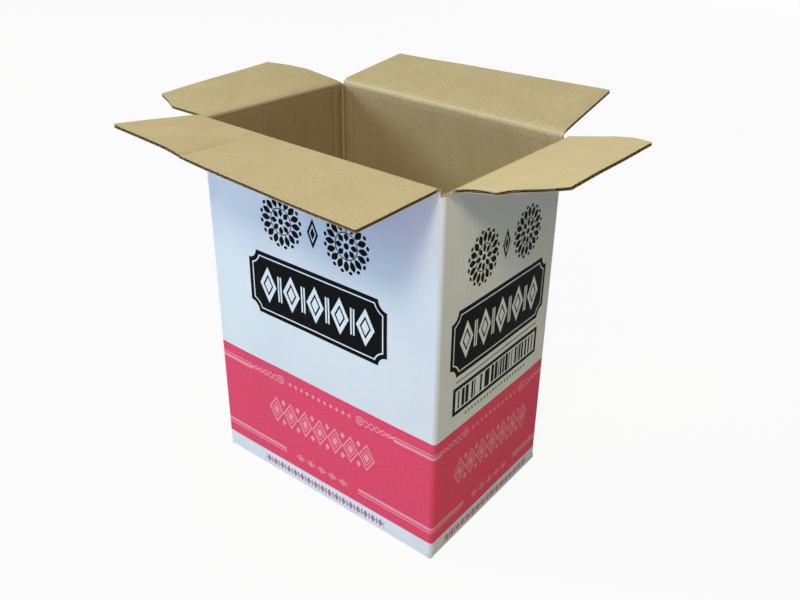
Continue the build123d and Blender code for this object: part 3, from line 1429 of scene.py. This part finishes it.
    def build(self) -> None:
        """Makes the flap's two pieces and the two pieces of its fold."""
        label = self.wall.label
        paper = self.materials
        printed = join(f"{label}_flap_outer_liner", [self.liner("outer", Layer.OUTER_LINER, 1)])
        printed.data.materials.append(paper.printed)
        inner = self.liner("inner", Layer.INNER_LINER, 2)
        inner.data.materials.append(paper.kraft)
        flutes = self.flutes()
        flutes.data.materials.append(paper.medium)
        board = join(f"{label}_flap_board", [inner, flutes])
        for piece, slot in ((printed, "printed_board"), (board, "kraft_board")):
            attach(piece, f"{label}_flap")
            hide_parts(f"{label}_flap")
        outside = join(f"{label}_fold_outer_liner", [self.crease("outer", Layer.OUTER_LINER)])
        outside.data.materials.append(paper.printed)
        inside = join(f"{label}_fold_board", [self.crease("inner", Layer.REST)])
        inside.data.materials.append(paper.kraft)
        self.carry_crease(outside)
        self.carry_crease(inside)
        self.pieces += [printed, board, outside, inside]


class OpenTop:
    """The four top flaps, each bent and worn in its own way."""

    def __init__(self, sizes: CaseSizes, materials: Materials) -> None:
        """Sets out the flaps.

        Args:
            sizes: sizes of the case.
            materials: the papers.
        """
        depth = sizes.flap_depth
        long, short = sizes.long_flap / 2, sizes.short_flap / 2
        root = -3.0  # the cuts run on below the fold's own piece
        worn = 1.0  # size of the blunted corners
        front = [(long, root), (long + 0.8, 12.0), (long - 0.3, depth - worn)]
        front += [(long - 0.3 - worn, depth), (-long + 4.5 + worn, depth)]
        front += [(-long + 4.5, depth - worn), (-long, 16.0), (-long, root)]
        side = [(long, root), (long - 0.8, depth - worn), (long - 0.8 - worn, depth)]
        back = side + [(-x, y) for x, y in reversed(side)]
        left = [(short - 2.0, root), (short - 4.0, 45.0), (short - 13.0, 63.0)]
        left += [(short - 20.0, 80.0), (short - 21.5, depth), (-short + 15.5, depth)]
        left += [(-short + 5.2, 63.0), (-short - 0.2, 43.0), (-short, root)]
        right = [(short, root), (short + 0.2, 30.0), (short + 0.2, 45.5), (short - 4.8, 63.5)]
        right += [(short - 17.5, depth - worn), (short - 19.0, depth), (-61.0, depth)]
        right += [(-65.0, 75.0), (-68.5, 66.0), (-70.0, 57.0), (-72.0, 49.0), (-75.5, 44.0)]
        right += [(-80.5, 39.0), (-77.8, 32.0), (-75.6, 24.0), (-74.8, 12.0), (-77.0, 4.0)]
        right += [(-80.0, root)]
        crease = (-46.0, -44.0, -42.0, -40.0, -38.0)

        def front_lean(along: Points) -> Points:
            """The front flap is twisted, with a kink across its left part."""
            droop = 0.00004 * np.clip(along, 0, None) ** 2
            return 87.0 + 0.036 * along + 0.9 * np.tanh((along + 45) / 11) - droop

        def front_dent(along: Points, depth: Points) -> Points:
            """The kink's own line, nearly square to the fold."""
            off = along + 38.5 + (77 - depth) * 0.12
            return -0.45 * np.exp(-((off / 2.6) ** 2))

        shared = (sizes, materials)
        sharp = Bend(
            radius=0.4, crush=-0.3, crush_below=0.2, crush_beyond=0.2, roll=10.0, roll_reach=9.0
        )
        self.flaps = [
            TopFlap(Wall.FRONT, *shared, front_lean, front, front_dent, crease),
            TopFlap(Wall.RIGHT, *shared, lambda s: 77.0 + 0.005 * s, right, torn_below=-55.0),
            TopFlap(Wall.BACK, *shared, lambda s: 79.0 + 0.021 * s, back),
            TopFlap(Wall.LEFT, *shared, lambda s: 87.7 + 0.048 * s, left, bend=sharp),
        ]

    def build(self) -> None:
        """Makes every flap."""
        for flap in self.flaps:
            flap.build()


@dataclass(frozen=True)
class Lamp:
    """A square soft lamp that points at the case, in metres and watts."""

    name: str
    place: tuple[float, float, float]
    size: float
    power: float
    colour: str
    target: tuple[float, float, float] = (0.0, 0.0, 0.18)  # the middle of the case

    def hang(self) -> None:
        """Adds the lamp to the scene."""
        data = bpy.data.lights.new(self.name, "AREA")
        data.shape, data.size, data.energy = "SQUARE", self.size, self.power
        data.color = linear(self.colour)[:3]
        lamp = bpy.data.objects.new(self.name, data)
        bpy.context.scene.collection.objects.link(lamp)
        lamp.location = self.place
        lamp.rotation_mode = "QUATERNION"
        aim = Vector(self.target) - Vector(self.place)
        lamp.rotation_quaternion = aim.to_track_quat("-Z", "Y")


@dataclass
class Studio:
    """A plain pale floor, soft lamps and the camera, in metres and degrees."""

    camera_place: tuple[float, float, float] = (0.4233, -0.4986, 0.5323)
    azimuth: float = 34.11
    elevation: float = 25.75
    roll: float = 2.89
    lens: float = 37.2  # millimetres
    shift: tuple[float, float] = (-0.0806, -0.0578)
    clip: tuple[float, float] = (0.02, 30.0)
    floor_size: float = 60.0
    floor_drop: float = 0.0002  # the floor lies this far under the case
    floor_colour: str = "#BCBCBC"
    floor_roughness: float = 0.9
    floor_white: float = 0.93  # how white the floor is seen, so that a faint shadow stays
    room_colour: str = "#E9F4FF"
    room_light: float = 0.11
    lamps: tuple[Lamp, ...] = (
        Lamp("key", (0.44, -1.09, 1.43), 0.38, 12.8, "#FDFFE9"),
        Lamp("window", (-1.8, -1.4, 1.2), 0.6, 20.5, "#8FE6FF"),
        Lamp("dusk", (-0.3, -2.6, 0.5), 0.9, 15.5, "#1457FF"),
        Lamp("shelf", (-2.2, -0.6, 1.6), 1.2, 52.0, "#FFF7D5"),
        Lamp("wall", (1.7, -1.1, 2.1), 1.2, 14.0, "#FFEEB5"),
        Lamp("behind", (-0.67, 4.0, 1.17), 2.0, 50.0, "#F4F8FF"),
    )

    def camera(self) -> None:
        """Places the camera where the photographer stood."""
        data = bpy.data.cameras.new("camera")
        data.lens = self.lens
        data.shift_x, data.shift_y = self.shift
        data.clip_start, data.clip_end = self.clip
        camera = bpy.data.objects.new("camera", data)
        bpy.context.scene.collection.objects.link(camera)
        turn, tilt = math.radians(self.azimuth), math.radians(self.elevation)
        flat = math.cos(tilt)
        forward = Vector((-math.sin(turn) * flat, math.cos(turn) * flat, -math.sin(tilt)))
        level = forward.to_track_quat("-Z", "Y")
        camera.rotation_mode = "QUATERNION"
        camera.rotation_quaternion = level @ Quaternion((0, 0, 1), math.radians(self.roll))
        camera.location = self.camera_place
        bpy.context.scene.camera = camera

    def seen_white(
        self, tree: bpy.types.NodeTree, under: Socket, target: Socket, share: float
    ) -> None:
        """Shows plain white to the camera and in gloss, over what lights the case.

        Args:
            tree: the node tree.
            under: the shader that lights the case.
            target: the output's input.
            share: how much of the white the camera sees.
        """
        path = add_node(tree, "ShaderNodeLightPath").node.outputs
        clear = (path["Is Glossy Ray"], path["Is Transmission Ray"])
        gloss = add_node(tree, MATH, *clear, operation="MAXIMUM")
        rays = add_node(tree, MATH, path["Is Camera Ray"], gloss, operation="MAXIMUM")
        part = add_node(tree, MATH, rays, share, operation="MULTIPLY")
        white = add_node(tree, "ShaderNodeEmission")
        tree.links.new(add_node(tree, "ShaderNodeMixShader", part, under, white), target)

    def floor(self) -> None:
        """Lays the floor just under the case."""
        bpy.ops.object.select_all(action="DESELECT")
        bpy.ops.mesh.primitive_plane_add(size=self.floor_size, location=(0, 0, -self.floor_drop))
        floor = bpy.context.object
        floor.name = "floor"
        material = bpy.data.materials.new("pale_floor")
        material.use_nodes = True
        tree = material.node_tree
        shader = tree.nodes["Principled BSDF"]
        shader.inputs["Base Color"].default_value = linear(self.floor_colour)
        shader.inputs["Roughness"].default_value = self.floor_roughness
        output = tree.nodes["Material Output"].inputs["Surface"]
        self.seen_white(tree, shader.outputs[0], output, self.floor_white)
        floor.data.materials.append(material)

    def world(self) -> None:
        """Fills the room with even light and shows white behind the case."""
        world = bpy.data.worlds.new("room")
        bpy.context.scene.world = world
        world.use_nodes = True
        tree = world.node_tree
        light = tree.nodes["Background"]
        light.inputs["Color"].default_value = linear(self.room_colour)
        light.inputs["Strength"].default_value = self.room_light
        self.seen_white(tree, light.outputs[0], tree.nodes["World Output"].inputs["Surface"], 1.0)

    def build(self) -> None:
        """Sets up the studio."""
        self.camera()
        self.floor()
        self.world()
        for lamp in self.lamps:
            lamp.hang()
        bpy.context.scene.view_settings.view_transform = "Standard"


def main() -> None:
    """Builds the case and its studio."""
    logging.basicConfig(level=logging.INFO, format="%(name)s: %(message)s")
    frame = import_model()
    sizes = CaseSizes.from_frame(frame)
    materials = Materials.make()
    shell = CaseShell(sizes, materials)
    shell.build()
    top = OpenTop(sizes, materials)
    top.build()
    for piece in shell.pieces + [p for flap in top.flaps for p in flap.pieces]:
        log.info("%s has %d faces", piece.name, len(piece.data.polygons))
    Studio().build()


if __name__ == "__main__":
    main()
